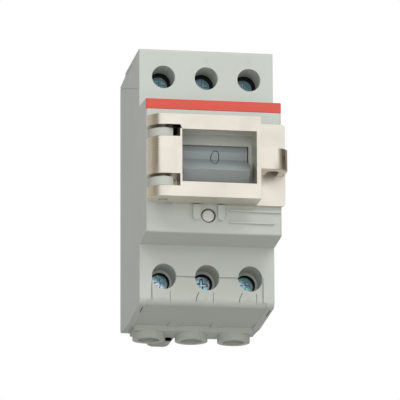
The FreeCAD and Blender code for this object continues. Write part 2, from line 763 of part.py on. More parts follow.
# Fixed plate of the lock: window, two hinge eyes and the padlock ear
def make_lock_plate():
    body = new_body("LockPlate")
    plate_left = hinge_left - S.plate_inset
    plate_right = ear_right + S.plate_edge
    pad(body, "PlateSheet", "Y", plate_front, face,
        rect(-plate_left, plate_right, -lock_low, lock_top))
    soften(body, "PlateCorners", "Fillet", S.plate_corner,
           lambda a, b: near(a.x, plate_right.value) and near(b.x, plate_right.value)
           and not near(a.y, b.y))
    pocket(body, "PlateWindow", "Y", plate_front, face,
           rect(-window_left - S.plate_window_side, window_right + S.plate_window_side * 2,
                -window_low - S.plate_window_drop, window_top + S.plate_window_rise))
    eye_half = S.slot_height / 2 - S.eye_gap
    for word, middle in (("Upper", slot_upper), ("Lower", -slot_lower)):
        low, high = middle - eye_half, middle + eye_half
        pad(body, word + "Leg", "Z", low, high,
            rect(hinge_x - S.eye_nose, -plate_left + LAP, plate_front, face))
        pad(body, word + "Eye", "Z", low, high, (hinge_x, hinge_y, S.eye_dia / 2))
        eye = S.eye_dia / 2
        pocket(body, word + "EyeNose", "Z", low, high,
               rect(hinge_x + S.eye_nose, hinge_x + eye + LAP, hinge_y - eye, plate_front))
    pocket(body, "EyeBore", "Z", -lock_low, lock_top, (hinge_x, hinge_y, S.pin_dia / 2 + S.hold_gap))
    pad(body, "PadlockEar", "Z", S.ear_rise - S.ear_thick / 2, S.ear_rise + S.ear_thick / 2,
        rect(ear_left, ear_right, -S.ear_front, plate_front + LAP))
    soften(body, "EarCorners", "Fillet", S.ear_width * S.ear_round_share,
           lambda a, b: near(a.y, -S.ear_front.value) and near(b.y, -S.ear_front.value)
           and near(a.x, b.x))
    shackle_y = flap_front + S.shackle_depth + S.shackle_width / 2 + S.shackle_set
    pocket(body, "ShackleHole", "Z", S.ear_rise - S.ear_thick / 2, S.ear_rise + S.ear_thick / 2,
           (shackle_x, shackle_y, S.shackle_width / 2 - S.fit_gap))
    pocket(body, "PlateHoles", "Y", plate_front, face,
           *[(x, z, S.plate_screw_dia / 2 + S.fit_gap) for x, z in screw_spots])
    pocket(body, "PlateHeadSeats", "Y", plate_front, plate_front + S.plate_head_thick,
           *[(x, z, S.plate_head_dia / 2 + S.fit_gap) for x, z in screw_spots])
    return keep("lock_plate", body)


# Hinged frame: window, barrel knuckles with two gaps for the eyes, and the padlock tab
def make_lock_flap():
    body = new_body("LockFlap")
    tab_right = ear_right + S.tab_edge
    pad(body, "FlapFrame", "Y", flap_front, flap_rear,
        rect(hinge_x, flap_right, -lock_low, lock_top))
    pad(body, "FlapTab", "Y", flap_front, flap_rear,
        rect(flap_right - LAP, tab_right, -S.tab_bottom, S.tab_top))
    soften(body, "TabCorner", "Fillet", S.tab_corner,
           lambda a, b: near(a.x, tab_right.value) and near(b.x, tab_right.value)
           and near(a.y, flap_front.value) and near(b.y, flap_front.value))
    pad(body, "FlapBarrel", "Z", -lock_low, lock_top, (hinge_x, hinge_y, S.knuckle_dia / 2))
    pocket(body, "FlapWindow", "Y", flap_front, flap_rear,
           rect(-window_left, window_right, -window_low, window_top))
    pocket(body, "FlapRebate", "Y", flap_front + S.flap_rim_depth, flap_rear,
           rect(-window_left, window_right, -window_low - S.flap_rebate, window_top + S.flap_rebate))
    edge = -window_left
    pocket(body, "FlapRelief", "Z", -window_low, window_top,
           [(edge - S.flap_relief, flap_rear), (edge, flap_rear - S.flap_relief),
            (edge + LAP, flap_rear - S.flap_relief), (edge + LAP, flap_rear)])
    slots = [(z - S.slot_height / 2, z + S.slot_height / 2) for z in (slot_upper, -slot_lower)]
    pocket(body, "EyeSlots", "Y", flap_front, hinge_y + S.knuckle_dia / 2,
           *[rect(hinge_x - S.knuckle_dia / 2, -slot_right, low, high) for low, high in slots])
    pocket(body, "FlapBore", "Z", -lock_low, lock_top,
           (hinge_x, hinge_y, S.pin_dia / 2 + S.run_gap))
    ear_low = S.ear_rise - S.ear_thick / 2 - S.ear_gap
    ear_high = S.ear_rise + S.ear_thick / 2 + S.ear_gap
    pocket(body, "EarSlot", "Z", ear_low, ear_high,
           rect(ear_left - S.ear_side_gap, tab_right, -S.ear_front - S.ear_side_gap, flap_rear))
    half = S.shackle_width / 2
    notch_y = flap_front + S.shackle_depth + half
    pocket(body, "ShackleNotch", "Z", -S.tab_bottom, S.tab_top,
           rect(shackle_x - half, shackle_x + half, notch_y, flap_rear))
    pocket(body, "ShackleEnd", "Z", -S.tab_bottom, S.tab_top, (shackle_x, notch_y, half))
    return keep("lock_flap", body)


def make_hinge_pin():
    return keep("hinge_pin", rod("HingePin", "Z", -lock_low + S.flap_gap, lock_top - S.flap_gap,
                                 (hinge_x, hinge_y), S.pin_dia / 2))


def make_plate_screws():
    screws = []
    for i, (x, z) in enumerate(screw_spots, start=1):
        seat = plate_front + S.plate_head_thick
        head = rod("PlateScrewHead%d" % i, "Y", plate_front + S.seat_gap, seat, (x, z), S.plate_head_dia / 2)
        shank = rod("PlateScrewShank%d" % i, "Y", seat - LAP, seat + S.plate_screw_length, (x, z),
                    S.plate_screw_dia / 2)
        screws.append(fuse("PlateScrew%d" % i, head, shank))
    return keep("plate_screws", group("PlateScrews", *screws))


def make_seal_screw():
    spot = (-S.seal_left, seal_z)
    seat = face + S.seal_well_depth
    head = rod("SealHead", "Y", seat - S.seal_head_thick, seat, spot, S.seal_head_dia / 2)
    shank = rod("SealShank", "Y", seat - LAP, seat + S.seal_shank_length, spot, S.seal_shank_dia / 2)
    return keep("seal_screw", fuse("SealScrew", head, shank))


# Toggle: a drum behind the opening, the grip with its apron in front and two cranks above
def make_toggle():
    body = new_body("Toggle")
    half = half_toggle
    drum = S.drum_dia / 2
    back = face - S.apron_gap
    apron_low = axis_z - S.apron_drop
    grip = [(axis_y, axis_z), (axis_y - drum * S.grip_root_share, axis_z + S.grip_shoulder),
            (axis_y - S.fold_reach, axis_z + S.fold_rise), (axis_y - S.grip_reach, axis_z - S.grip_drop),
            (axis_y - S.apron_reach, apron_low), (back, apron_low + S.apron_thick),
            (back, axis_z - S.apron_root)]
    pad(body, "ToggleDrum", "X", -half, half, (axis_y, axis_z, drum))
    pad(body, "ToggleGrip", "X", -half, half, grip)
    wide = S.crank_boss / 2
    crank = [(axis_y - wide, axis_z), (axis_y + wide, axis_z),
             (crank_y + wide, crank_z), (crank_y - wide, crank_z)]
    for word, low, high in (("Left", -half, -half + S.crank_width), ("Right", half - S.crank_width, half)):
        pad(body, word + "Crank", "X", low, high, crank)
        pad(body, word + "CrankEnd", "X", low, high, (crank_y, crank_z, wide))
    pocket(body, "AxleBore", "X", -half, half, (axis_y, axis_z, S.axle_dia / 2 + S.run_gap))
    pocket(body, "DrivePinBore", "X", -half, half, (crank_y, crank_z, S.drive_pin_dia / 2 + S.hold_gap / 2))
    return keep("toggle", body)


def make_toggle_axle():
    end = half_opening + S.fit_gap + S.lug_thick
    return keep("toggle_axle", rod("ToggleAxle", "X", -end, end, (axis_y, axis_z), S.axle_dia / 2))


def make_drive_pin():
    return keep("drive_pin", rod("DrivePin", "X", -half_toggle, half_toggle, (crank_y, crank_z),
                                 S.drive_pin_dia / 2))


# Contact planes, from the fixed tips forward
tip_front = -S.bar_depth - S.tip_thick
contact_travel = S.crank_reach * 2 * sine(S.half_swing)
bridge_tip = tip_front - contact_travel - S.closed_gap
bridge_rear = bridge_tip - S.tip_thick
bridge_front = bridge_rear - S.bridge_thick
spring_seat = bridge_front - S.spring_room


# Contact carrier: cross beam, three stems that hold the bridges and the slotted yoke
def make_contact_carrier():
    body = new_body("ContactCarrier")
    half = S.stem_height / 2
    reach = side - S.wall - S.beam_play
    beam_front, beam_rear = -S.beam_front, -S.beam_front + S.beam_thick
    pad(body, "CarrierBeam", "Y", beam_front, beam_rear, rect(-reach, reach, -half, half))
    web = bridge_rear + S.seat_gap
    pad(body, "CarrierStems", "Y", beam_rear - LAP, web + S.stem_web,
        *[rect(x - half_stem, x + half_stem, -half, half) for x in poles])
    window = half_bridge + S.fit_gap
    pocket(body, "StemWindows", "Y", spring_seat, web,
           *[rect(x - window, x + window, -half, half) for x in poles])
    pin = S.drive_pin_dia / 2
    front = crank_y - pin - S.run_gap - S.yoke_rim
    slot_low = crank_z - pin - S.yoke_play
    slot_high = axis_z + S.crank_reach + pin + S.yoke_play
    yoke_low, yoke_high = slot_low - S.yoke_lip, slot_high + S.yoke_cap
    yoke = [(beam_front, -half), (beam_rear, -half), (beam_rear, yoke_high), (front, yoke_high),
            (front, yoke_low), (beam_front, yoke_low)]
    outer = half_toggle - S.crank_width - S.yoke_side
    for word, low, high in (("Left", -outer, S.yoke_thick - outer), ("Right", outer - S.yoke_thick, outer)):
        pad(body, word + "Yoke", "X", low, high, yoke)
    pocket(body, "YokeSlots", "X", -outer, outer,
           rect(crank_y - pin - S.run_gap, crank_y + pin + S.run_gap, slot_low, slot_high))
    return keep("contact_carrier", body)


def make_pole(number, x):
    for word, (sign, name) in rows.items():
        low, high = (S.bar_inner, S.bar_outer) if sign > 0 else (-S.bar_outer, -S.bar_inner)
        bar = box("%sBar%d" % (name, number), (x - half_bar, x + half_bar),
                  (-S.bar_depth, -S.bar_depth + S.bar_thick), (low, high))
        tip = rod("%sTip%d" % (name, number), "Y", tip_front, -S.bar_depth + LAP, (x, S.tip_row * sign),
                  S.tip_dia / 2)
        keep("%s_contact_%d" % (word, number), fuse("%sContact%d" % (name, number), bar, tip))
    strip = box("BridgeStrip%d" % number, (x - half_bridge, x + half_bridge),
                (bridge_front, bridge_rear), (-S.bridge_length / 2, S.bridge_length / 2))
    tips = [rod("Bridge%sTip%d" % (word, number), "Y", bridge_rear - LAP, bridge_tip, (x, z), S.tip_dia / 2)
            for word, z in (("Upper", S.tip_row), ("Lower", -S.tip_row))]
    keep("bridge_%d" % number, fuse("Bridge%d" % number, strip, *tips))
    make_contact_spring(number, x)
    plates = []
    for word, sign in (("Upper", 1), ("Lower", -1)):
        for step in range(4):
            low = (S.arc_first + S.arc_step * step) * sign
            span = (low, low + S.arc_thick) if sign > 0 else (low - S.arc_thick, low)
            plates.append(box("Arc%s%d%d" % (word, number, step + 1),
                              (x - half_room + S.seat_gap, x + half_room - S.seat_gap),
                              (-S.arc_front, -S.arc_rear), span))
    keep("arc_plates_%d" % number, group("ArcPlates%d" % number, *plates))


# Contact spring: a folded strip between the carrier's seat and the bridge
def make_contact_spring(number, x):
    body = new_body("ContactSpring%d" % number)
    rise = S.spring_strip * S.spring_slope
    low, high = spring_seat + S.seat_gap, bridge_front - S.seat_gap
    step = (high - low) / 3
    reach = S.stem_height / 2 - S.seat_gap
    outer = [(low + step * i, -reach if i % 2 == 0 else reach - rise) for i in range(4)]
    back = [(y, z + rise) for y, z in reversed(outer)]
    wide = half_bridge - S.fit_gap
    pad(body, "SpringStrip%d" % number, "X", x - wide, x + wide, outer + back)
    keep("contact_spring_%d" % number, body)


# Terminal: a rising cage on a clamp screw
def make_terminal(word, number, x, sign):
    z = S.screw_row * sign
    name = rows[word][1] + str(number)
    body = new_body("Cage" + name)
    half = half_room - S.cage_side
    tall = S.cage_height / 2
    pad(body, "CageBlock" + name, "Z", z - tall, z + tall,
        rect(x - half, x + half, -S.cage_front, -S.cage_rear))
    pocket(body, "CageWindow" + name, "Z", z - tall, z + tall,
           rect(x - half + S.cage_wall, x + half - S.cage_wall, -S.cage_front + S.cage_front_wall,
                -S.cage_rear - S.cage_rear_wall))
    pocket(body, "CageThread" + name, "Y", -S.cage_front, -S.cage_front + S.cage_front_wall,
           (x, z, S.clamp_dia / 2 + S.hold_gap))
    keep("cage_%s_%d" % (word, number), body)
    seat = well_floor
    head = rod("ClampHead" + name, "Y", seat - S.clamp_head_thick, seat, (x, z), S.clamp_head_dia / 2)
    shank = rod("ClampShank" + name, "Y", seat - LAP, -S.clamp_end, (x, z), S.clamp_dia / 2)
    blank = fuse("ClampBlank" + name, head, shank)
    deep = (seat - S.clamp_head_thick, seat - S.clamp_head_thick + S.cross_deep)
    long, wide = S.cross_long / 2, S.cross_wide / 2
    level = box("CrossLevel" + name, (x - long, x + long), deep, (z - wide, z + wide))
    plumb = box("CrossPlumb" + name, (x - wide, x + wide), deep, (z - long, z + long))
    cross = fuse("Cross" + name, level, plumb)
    keep("terminal_screw_%s_%d" % (word, number), cut("ClampScrew" + name, blank, cross))


# Rail latch: a sliding foot with a nose behind the rail's lower edge and a slotted tail
def make_rail_latch():
    body = new_body("RailLatch")
    x = -S.latch_centre
    half = S.latch_width / 2
    front, back = -S.latch_front, -S.latch_front + S.latch_thick
    pad(body, "LatchSlide", "Y", front, back, rect(x - half, x + half, -S.tail_top - LAP, -S.latch_stop))
    pad(body, "LatchNose", "Y", S.rail_thick + S.rail_play, back,
        rect(x - half, x + half, -S.latch_stop - LAP, -S.latch_stop + S.latch_nose))
    flange = S.latch_flange_width / 2
    pad(body, "LatchFlange", "Y", front, front + S.latch_flange,
        rect(x - flange, x + flange, -S.latch_flange_low, -S.latch_flange_top))
    tail_low = -S.tail_top - S.tail_drop
    pad(body, "LatchTail", "Z", tail_low, -S.tail_top,
        rect(x - S.tail_width / 2, x + S.tail_width / 2, -S.tail_front, back))
    soften(body, "TailRound", "Fillet", S.tail_round,
           lambda a, b: near(a.z, tail_low.value) and near(b.z, tail_low.value) and near(a.x, b.x))
    slot_low = tail_low + S.tail_slot_edge
    pocket(body, "TailSlot", "Y", -S.tail_front, back,
           rect(x - S.tail_slot_wide / 2, x + S.tail_slot_wide / 2, slot_low, slot_low + S.tail_slot_high))
    pocket(body, "LatchWindow", "Y", front, back,
           rect(x - S.window_width / 2, x + S.window_width / 2, -S.window_low, -S.window_top))
    return keep("rail_latch", body)


# Latch spring: a coil from the peg to the upper end of the latch's window
def make_latch_spring():
    low, high = -(S.window_low - S.peg_height) + S.seat_gap, -S.window_top - S.seat_gap
    wire = S.coil_wire.value / 2
    length = (high - low).value - S.coil_wire.value
    path = Part.makeHelix(length / S.coil_turns.value, length, S.coil_dia.value / 2)
    ring = Part.Circle(FreeCAD.Vector(S.coil_dia.value / 2, 0, 0), FreeCAD.Vector(0, 1, 0), wire)
    coil = Part.Wire(path).makePipeShell([Part.Wire(ring.toShape())], True, True)
    thing = doc.addObject("Part::Feature", "LatchSpring")
    thing.Shape = coil
    middle = (S.peg_reach.value - S.latch_front.value) / 2
    thing.Placement = FreeCAD.Placement(
        FreeCAD.Vector(-S.latch_centre.value, middle, low.value + wire), FreeCAD.Rotation())
    return keep("latch_spring", thing)


make_front_housing()
make_base_housing()
make_terminal_cover()
make_top_cover()
make_colour_strip()
make_lock_plate()
make_lock_flap()
make_hinge_pin()
make_plate_screws()
make_seal_screw()
make_toggle()
make_toggle_axle()
make_drive_pin()
make_contact_carrier()
for number, x in enumerate(poles, start=1):
    make_pole(number, x)
    make_terminal("line", number, x, 1)
    make_terminal("load", number, x, -1)
make_rail_latch()
make_latch_spring()
doc.recompute()

# Every object has to be sound, and every pocket has to have cut something
for thing in doc.Objects:
    if "Invalid" in thing.State or "Error" in thing.State:
        raise RuntimeError(thing.Name + " did not build: " + str(thing.State))
    if thing.TypeId == "PartDesign::Pocket" and thing.BaseFeature:
        if thing.Shape.Volume > thing.BaseFeature.Shape.Volume - 1e-4:
            raise RuntimeError(thing.Name + " cuts nothing")

os.makedirs("parts", exist_ok=True)
for node, thing in parts.items():
    if thing.Shape.isNull() or not thing.Shape.isValid():
        raise RuntimeError(node + " has no sound shape")
    thing.Shape.exportStep("parts/" + node + ".step")
    print(node, len(thing.Shape.Solids), round(thing.Shape.Volume, 1))
print(len(parts), "pieces")
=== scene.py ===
import json
import math
import bmesh
import bpy
from mathutils import Matrix, Vector
from mathutils.bvhtree import BVHTree


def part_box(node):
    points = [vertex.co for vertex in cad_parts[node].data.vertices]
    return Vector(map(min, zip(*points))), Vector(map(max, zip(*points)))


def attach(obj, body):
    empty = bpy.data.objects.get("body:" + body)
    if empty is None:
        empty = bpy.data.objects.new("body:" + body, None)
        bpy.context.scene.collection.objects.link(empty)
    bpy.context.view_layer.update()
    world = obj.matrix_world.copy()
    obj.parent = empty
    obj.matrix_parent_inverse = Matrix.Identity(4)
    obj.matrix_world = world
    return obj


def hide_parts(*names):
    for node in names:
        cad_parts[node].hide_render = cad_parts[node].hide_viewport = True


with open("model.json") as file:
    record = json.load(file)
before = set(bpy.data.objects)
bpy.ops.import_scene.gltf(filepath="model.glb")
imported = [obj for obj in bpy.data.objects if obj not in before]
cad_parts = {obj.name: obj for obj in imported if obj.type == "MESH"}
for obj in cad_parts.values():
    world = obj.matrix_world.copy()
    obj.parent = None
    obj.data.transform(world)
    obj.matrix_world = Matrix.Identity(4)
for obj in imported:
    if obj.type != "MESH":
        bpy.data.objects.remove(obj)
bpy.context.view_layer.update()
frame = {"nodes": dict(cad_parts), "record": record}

# Three-pole switch disconnector on a rail seat. Everything is in metres, X to the right, Y to the
# back, Z up. Numbers for the pieces are written in millimetres and multiplied by mm, numbers for the
# camera and the studio in metres.
mm = 0.001
nodes = frame["nodes"]
bodies = frame["record"]["behaviour"]["bodies"]
bodyOf = {node: body for body, members in bodies.items() for node in members}
print("frame loaded:", len(nodes), "nodes")


# Colours are written as sRGB hex and turned to linear here
def colour(hexText):
    parts = [int(hexText[i:i + 2], 16) / 255 for i in (1, 3, 5)]
    linear = [p / 12.92 if p <= 0.04045 else ((p + 0.055) / 1.055) ** 2.4 for p in parts]
    return (*linear, 1.0)


# Adds a node with its settings and links, and returns it
def addNode(tree, kind, settings=None, links=None):
    node = tree.nodes.new(kind)
    for key, value in (settings or {}).items():
        if isinstance(key, int) or key in node.inputs:
            node.inputs[key].default_value = value
        else:
            setattr(node, key, value)
    for key, socket in (links or {}).items():
        tree.links.new(socket, node.inputs[key])
    return node


def newMaterial(name):
    material = bpy.data.materials.new(name)
    material.use_nodes = True
    tree = material.node_tree
    tree.nodes.clear()
    return material, tree


# Shared end of every material: the shader with its fixed numbers, its linked patterns and the output
def finishMaterial(tree, numbers, links):
    shader = addNode(tree, "ShaderNodeBsdfPrincipled", numbers, links)
    addNode(tree, "ShaderNodeOutputMaterial", links={"Surface": shader.outputs["BSDF"]})


# Glass-filled polyamide, injection moulded in a spark-eroded mould: matt, with a fine grain and
# very faint clouds where the melt flowed. The real grain is near 0.1 mm and is drawn at 0.45 mm to
# show.
mouldedLook = {
    "grainSize": 0.45 * mm,
    "cloudSize": 14 * mm,
    "grainHeight": 0.012 * mm,
    "grainStrength": 0.35,
    "ior": 1.53,
}


def makeMoulded(name, light, dark, roughLow, roughHigh):
    material, tree = newMaterial(name)
    place = addNode(tree, "ShaderNodeTexCoord")
    cloud = addNode(tree, "ShaderNodeTexNoise",
                    {"Scale": 1 / mouldedLook["cloudSize"], "Detail": 3.0},
                    {"Vector": place.outputs["Object"]})
    grain = addNode(tree, "ShaderNodeTexNoise",
                    {"Scale": 1 / mouldedLook["grainSize"], "Detail": 2.0},
                    {"Vector": place.outputs["Object"]})
    tone = addNode(tree, "ShaderNodeMix", {"data_type": "RGBA", 6: colour(light), 7: colour(dark)},
                   {0: cloud.outputs["Fac"]})
    rough = addNode(tree, "ShaderNodeMapRange", {"To Min": roughLow, "To Max": roughHigh},
                    {"Value": grain.outputs["Fac"]})
    bump = addNode(tree, "ShaderNodeBump",
                   {"Strength": mouldedLook["grainStrength"], "Distance": mouldedLook["grainHeight"]},
                   {"Height": grain.outputs["Fac"]})
    finishMaterial(tree, {"IOR": mouldedLook["ior"]},
                   {"Base Color": tone.outputs[2], "Roughness": rough.outputs["Result"],
                    "Normal": bump.outputs["Normal"]})
    return material


# Zinc die casting, tumbled and plated with satin nickel: a warm white metal with soft, cloudy
# reflections, a few handling marks and a slightly duller film in patches.
nickelLook = {
    "light": "#F5EFE5",
    "dark": "#E7E0D3",
    "cloudSize": 9 * mm,
    "markSize": 1.6 * mm,
    "markHeight": 0.01 * mm,
    "markStrength": 0.3,
    "roughLow": 0.27,
    "roughHigh": 0.43,
}


def makeNickel(name):
    material, tree = newMaterial(name)
    place = addNode(tree, "ShaderNodeTexCoord")
    cloud = addNode(tree, "ShaderNodeTexNoise",
                    {"Scale": 1 / nickelLook["cloudSize"], "Detail": 4.0, "Distortion": 0.6},
                    {"Vector": place.outputs["Object"]})
    marks = addNode(tree, "ShaderNodeTexNoise",
                    {"Scale": 1 / nickelLook["markSize"], "Detail": 5.0, "Roughness": 0.62},
                    {"Vector": place.outputs["Object"]})
    tone = addNode(tree, "ShaderNodeMix",
                   {"data_type": "RGBA",
                    6: colour(nickelLook["light"]), 7: colour(nickelLook["dark"])},
                   {0: cloud.outputs["Fac"]})
    rough = addNode(tree, "ShaderNodeMapRange",
                    {"From Min": 0.3, "From Max": 0.7,
                     "To Min": nickelLook["roughLow"], "To Max": nickelLook["roughHigh"]},
                    {"Value": cloud.outputs["Fac"]})
    bump = addNode(tree, "ShaderNodeBump",
                   {"Strength": nickelLook["markStrength"], "Distance": nickelLook["markHeight"]},
                   {"Height": marks.outputs["Fac"]})
    finishMaterial(tree, {"Metallic": 1.0},
                   {"Base Color": tone.outputs[2], "Roughness": rough.outputs["Result"],
                    "Normal": bump.outputs["Normal"]})
    return material


# Steel screws, zinc plated and blue chromated: the thin film turns from teal to violet and back over
# about 1.5 mm, and the plating is bright enough for sharp glints.
blueLook = {
    "teal": "#99CFD4",
    "violet": "#B0BADF",
    "pale": "#F2FCFC",
    "filmSize": 1.5 * mm,
    "dentHeight": 0.05 * mm,
    "dentStrength": 0.5,
    "roughLow": 0.1,
    "roughHigh": 0.26,
}


def makeBlueZinc(name):
    material, tree = newMaterial(name)
    place = addNode(tree, "ShaderNodeTexCoord")
    film = addNode(tree, "ShaderNodeTexNoise",
                   {"Scale": 1 / blueLook["filmSize"], "Detail": 2.0, "Distortion": 1.2},
                   {"Vector": place.outputs["Object"]})
    hue = addNode(tree, "ShaderNodeMapRange", {"From Min": 0.42, "From Max": 0.6},
                  {"Value": film.outputs["Fac"]})
    shine = addNode(tree, "ShaderNodeMapRange", {"From Min": 0.55, "From Max": 0.7},
                    {"Value": film.outputs["Fac"]})
    cold = addNode(tree, "ShaderNodeMix",
                   {"data_type": "RGBA", 6: colour(blueLook["teal"]), 7: colour(blueLook["violet"])},
                   {0: hue.outputs["Result"]})
    tone = addNode(tree, "ShaderNodeMix", {"data_type": "RGBA", 7: colour(blueLook["pale"])},
                   {0: shine.outputs["Result"], 6: cold.outputs[2]})
    rough = addNode(tree, "ShaderNodeMapRange",
                    {"To Min": blueLook["roughLow"], "To Max": blueLook["roughHigh"]},
                    {"Value": film.outputs["Fac"]})
    bump = addNode(tree, "ShaderNodeBump",
                   {"Strength": blueLook["dentStrength"], "Distance": blueLook["dentHeight"]},
                   {"Height": film.outputs["Fac"]})
    finishMaterial(tree, {"Metallic": 1.0},
                   {"Base Color": tone.outputs[2], "Roughness": rough.outputs["Result"],
                    "Normal": bump.outputs["Normal"]})
    return material


# Turned and stamped metal parts: their streaks are the tool's lines, about 0.2 mm apart,
# drawn at 0.5 mm, and they run along one axis of the part.
drawnLook = {"lineSize": 0.5 * mm, "lineHeight": 0.01 * mm, "lineStrength": 0.2}


def makeDrawnMetal(name, light, dark, roughLow, roughHigh, streaks):
    material, tree = newMaterial(name)
    place = addNode(tree, "ShaderNodeTexCoord")
    stretch = addNode(tree, "ShaderNodeMapping", {"Scale": streaks},
                      {"Vector": place.outputs["Object"]})
    lines = addNode(tree, "ShaderNodeTexNoise", {"Scale": 1 / drawnLook["lineSize"], "Detail": 3.0},
                    {"Vector": stretch.outputs["Vector"]})
    tone = addNode(tree, "ShaderNodeMix", {"data_type": "RGBA", 6: colour(light), 7: colour(dark)},
                   {0: lines.outputs["Fac"]})
    rough = addNode(tree, "ShaderNodeMapRange", {"To Min": roughLow, "To Max": roughHigh},
                    {"Value": lines.outputs["Fac"]})
    bump = addNode(tree, "ShaderNodeBump",
                   {"Strength": drawnLook["lineStrength"], "Distance": drawnLook["lineHeight"]},
                   {"Height": lines.outputs["Fac"]})
    finishMaterial(tree, {"Metallic": 1.0},
                   {"Base Color": tone.outputs[2], "Roughness": rough.outputs["Result"],
                    "Normal": bump.outputs["Normal"]})
    return material


# Light grey polyamide of the case, warmer on the cover, which is moulded from another batch
casePlastic = makeMoulded("light grey polyamide, moulded", "#C9CEC7", "#C1C6BE", 0.46, 0.62)
coverPlastic = makeMoulded("warm grey polyamide, moulded", "#C6CAC2", "#BCC0B7", 0.46, 0.62)
latchPlastic = makeMoulded("mid grey polyamide, moulded", "#B4B7AF", "#A7AAA2", 0.42, 0.6)
# Red polycarbonate trim, smoother than the case
stripPlastic = makeMoulded("red polycarbonate, moulded", "#D75748", "#CE5042", 0.34, 0.44)
# Dark grey ink, pad printed on the toggle
markInk = makeMoulded("dark grey print on the toggle", "#4C5357", "#454B4F", 0.4, 0.5)
# Blue-grey polyamide of the toggle, from a polished mould
togglePlastic = makeMoulded("blue-grey polyamide, polished mould", "#A5ADAF", "#9DA6A8", 0.28, 0.38)
# Phenolic resin of the contact carrier: black and dull. It is also painted on the deep end of each
# screw well as painted shade.
blackResinAndWellShade = makeMoulded("black phenolic resin, pressed", "#3A3A3B", "#2E2E30", 0.5, 0.65)
nickelPlate = makeNickel("satin nickel on zinc casting")
# Stoved lacquer on the fixed hinge eyes, smoother than the case
eyeLacquer = makeMoulded("light grey lacquer on zinc casting", "#C3C6BD", "#BCBFB6", 0.42, 0.52)
blueZinc = makeBlueZinc("blue chromated zinc on steel")
# Metals of the pins, plates, contacts and springs, each with the streaks of its making
plainSteel = makeDrawnMetal("bright steel, drawn", "#D9D8D3", "#BBBAB5", 0.24, 0.4, (1, 0.1, 1))
arcSteel = makeDrawnMetal("mild steel, stamped and zinc plated", "#A6A7A2", "#8B8C88", 0.35, 0.5,
                          (0.2, 1, 1))
bareCopper = makeDrawnMetal("copper, rolled", "#D9966B", "#BE7A52", 0.28, 0.42, (1, 1, 0.08))
springSteel = makeDrawnMetal("spring steel, oiled", "#8E8D89", "#6F6E6B", 0.22, 0.36, (1, 1, 1))
# The seal screw's domed head is tumbled after turning, so its reflections are broad
tumbledSteel = makeDrawnMetal("bright steel, tumbled", "#EDECE7", "#D3D2CD", 0.4, 0.52, (1, 1, 1))
print("materials made")


# Places in the photograph's own proportions, in millimetres: how far a rim or an edge is drawn
lockTrim = {
    "slots": {9.4: 11.05, 6.5: 7.15, -6.7: -5.35, -9.6: -9.45},
    "eyes": {9.25: 10.1, 6.65: 7.42, -6.85: -6.2, -9.45: -9.18},
    "hingeSide": -10.0,
    "plateEnd": 23.0,
    "plateReach": 0.2,
}
coverTrim = {
    "poles": (-14.4, 0.0, 14.4),
    "wellRow": -33.9,
    "wellRadius": 3.9,
    "wellFront": -33.9,
    "wellReach": 0.04,
    "wellWide": 1.04,
    "wellTall": 1.1,
    "wellDrop": 0.12,
    "leftSlit": -3.6,
    "rightSlit": 2.05,
    "slitReach": 0.2,
    "slitTop": -38.0,
    "slitShorter": 1.0,
    "slitLean": 0.9,
    "rightWidth": 0.5,
    "grooveCorner": (-18.85, -33.6),
    "grooveClosed": -18.32,
    "lips": {-15.7: -15.05, -19.6: -18.95},
    "lipStart": 4.9,
    "lipFront": -58.0,
}
toggleTrim = {"fold": (-60.2, 2.0), "groove": (-58.0, 2.53)}


def isNear(one, other, reach=0.02):
    return abs(one - other) < reach


def trimLock(node, form):
    heights = lockTrim["slots"] if node == "lock_flap" else lockTrim["eyes"]
    for vert in form.verts:
        x, y, z = vert.co / mm
        if x < lockTrim["hingeSide"]:
            for old, new in heights.items():
                if isNear(z, old):
                    vert.co.z = new * mm
        if node == "lock_plate" and x > lockTrim["plateEnd"]:
            vert.co.x += lockTrim["plateReach"] * mm


def trimCover(node, form):
    trim = coverTrim
    corner = trim["grooveCorner"]
    for vert in form.verts:
        x, y, z = vert.co / mm
        for pole in trim["poles"]:
            across, up = x - pole, z - trim["wellRow"]
            onRim = isNear(math.hypot(across, up), trim["wellRadius"], trim["wellReach"])
            if onRim and y < trim["wellFront"]:
                vert.co.x = (pole + across * trim["wellWide"]) * mm
                vert.co.z = (trim["wellRow"] + up * trim["wellTall"] - trim["wellDrop"]) * mm
            elif node == "terminal_cover" and isNear(across, trim["leftSlit"], trim["slitReach"]):
                if isNear(z, trim["slitTop"]):
                    vert.co.x += trim["slitLean"] * mm
                    vert.co.z -= trim["slitShorter"] * mm
            elif node == "terminal_cover" and isNear(across, trim["rightSlit"], trim["slitReach"]):
                vert.co.x -= (across - trim["rightSlit"]) * (1 - trim["rightWidth"]) * mm
                if isNear(z, trim["slitTop"]):
                    vert.co.z -= trim["slitShorter"] * mm
        if node != "front_housing":
            continue
        if isNear(x, corner[0]) and isNear(z, corner[1]):
            vert.co.x = trim["grooveClosed"] * mm
        for old, new in trim["lips"].items():
            if x > trim["lipStart"] and y < trim["lipFront"] and isNear(z, old):
                vert.co.z = new * mm


def trimToggle(node, form):
    fold, groove = toggleTrim["fold"], toggleTrim["groove"]
    for vert in form.verts:
        if isNear(vert.co.y / mm, fold[0]) and isNear(vert.co.z / mm, fold[1]):
            vert.co.y, vert.co.z = groove[0] * mm, groove[1] * mm


trims = {
    "lock_flap": trimLock,
    "lock_plate": trimLock,
    "terminal_cover": trimCover,
    "front_housing": trimCover,
    "toggle": trimToggle,
}

# Which edges are broken: weld in millimetres, the rest in degrees between two faces
creaseRule = {
    "weld": 0.002,
    "flat": 0.8,
    "least": 28.0,
    "leastOnToggle": 12.0,
    "sharpBeyond": 20.0,
}


# Edges between two faces that meet at more than an angle in degrees
def creasesOf(form, leastAngle):
    least = math.radians(leastAngle)
    return [e for e in form.edges if len(e.link_faces) == 2 and e.calc_face_angle() > least]


